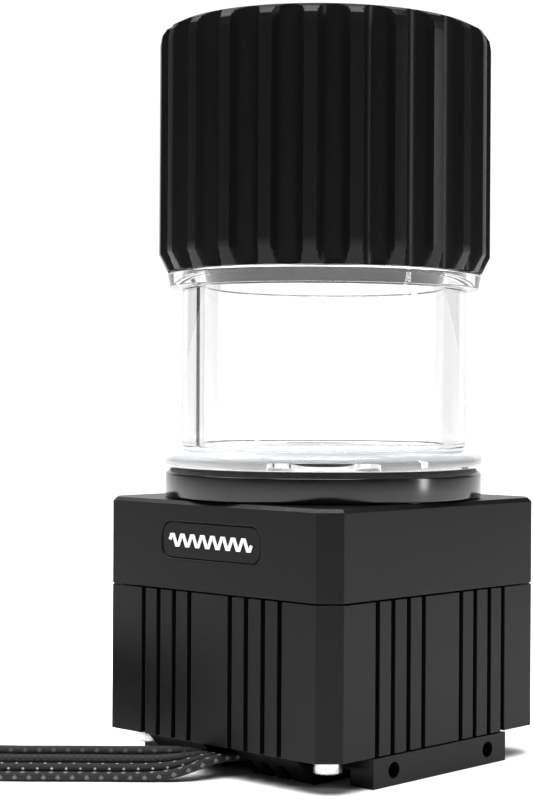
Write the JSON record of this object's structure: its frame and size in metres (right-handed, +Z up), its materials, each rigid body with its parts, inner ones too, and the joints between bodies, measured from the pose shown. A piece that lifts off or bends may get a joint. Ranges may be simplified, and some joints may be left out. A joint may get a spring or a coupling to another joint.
{
  "type": "liquid cooling pump with reservoir",
  "caption": "Square finned pump block with a clear round reservoir under a fluted screw cap, two side ports, mounting rails and braided leads.",
  "frame": {"origin": "centre of the square body on the surface it stands on", "axes": "+Z up along the reservoir, -Y out of the badge face, +X out of the face over one mounting rail"},
  "size_m": [0.1153, 0.1261, 0.1512],
  "materials": {
    "satin_black": "satin, black anodised",
    "gloss_black": "gloss",
    "clear": "clear polished",
    "rubber": "matte",
    "white_mark": "matte",
    "steel": "satin",
    "pump_plastic": "matte",
    "motor_plastic": "matte",
    "magnet": "matte bonded ferrite",
    "ceramic": "polished",
    "lamination": "satin",
    "copper": "enamelled copper wire",
    "board": "satin",
    "pad": "matte",
    "braid": "woven sleeve"
  },
  "bodies": {
    "pump": {"reservoir_tube": "clear", "tube_foot_seal": "rubber", "reservoir_collar": "gloss_black", "collar_seal": "rubber", "pump_top": "satin_black", "badge_plate": "gloss_black", "badge_wave": "white_mark", "pump_seal": "rubber", "bearing_post": "ceramic", "rotor_can": "steel", "stator_core": "lamination", "driver_board": "board", "driver_chip": "motor_plastic", "motor_shell": "motor_plastic", "wire_grommet": "rubber", "thermal_pad": "pad", "heatsink_housing": "satin_black", "base_heatsink": "satin_black", "lead_coil": "braid", "coil_tie": "rubber", "power_connector": "motor_plastic", "signal_connector": "motor_plastic", "lead_1": "braid", "lead_2": "braid", "lead_3": "braid", "lead_4": "braid", "stator_coil_1": "copper", "stator_coil_2": "copper", "stator_coil_3": "copper", "stator_coil_4": "copper", "stator_coil_5": "copper", "stator_coil_6": "copper", "corner_screw_1": "steel", "corner_screw_2": "steel", "corner_screw_3": "steel", "corner_screw_4": "steel", "base_screw_1": "steel", "base_screw_2": "steel", "base_screw_3": "steel", "base_screw_4": "steel"},
    "cap_seals": {"cap_gasket": "rubber", "cap_seal_1": "rubber", "cap_seal_2": "rubber"},
    "cap": {"cap_shell": "satin_black", "cap_plug": "satin_black"},
    "fill_seal": {"fill_plug_seal": "rubber"},
    "fill_plug": {"fill_plug": "satin_black"},
    "rotor": {"impeller": "pump_plastic", "rotor_magnet": "magnet"}
  },
  "joints": [
    {"name": "cap_lift", "type": "slide", "parent": "pump", "child": "cap_seals", "axis": [0, 0, 1], "range_m": [0, 0.008]},
    {"name": "cap_turn", "type": "hinge", "parent": "cap_seals", "child": "cap", "pos_m": [0, 0, 0.1259], "axis": [0, 0, 1], "range_deg": [0, 1440]},
    {"name": "fill_plug_lift", "type": "slide", "parent": "cap", "child": "fill_seal", "axis": [0, 0, 1], "range_m": [0, 0.0067]},
    {"name": "fill_plug_turn", "type": "hinge", "parent": "fill_seal", "child": "fill_plug", "pos_m": [0, 0, 0.1476], "axis": [0, 0, 1], "range_deg": [0, 1800]},
    {"name": "impeller_spin", "type": "hinge", "parent": "pump", "child": "rotor", "pos_m": [0, 0, 0.0295], "axis": [0, 0, 1], "continuous": true}
  ],
  "couplings": [
    {"joint": "cap_lift", "follows": "cap_turn", "m_per_rad": 0.0003183},
    {"joint": "fill_plug_lift", "follows": "fill_plug_turn", "m_per_rad": 0.0002127}
  ]
}
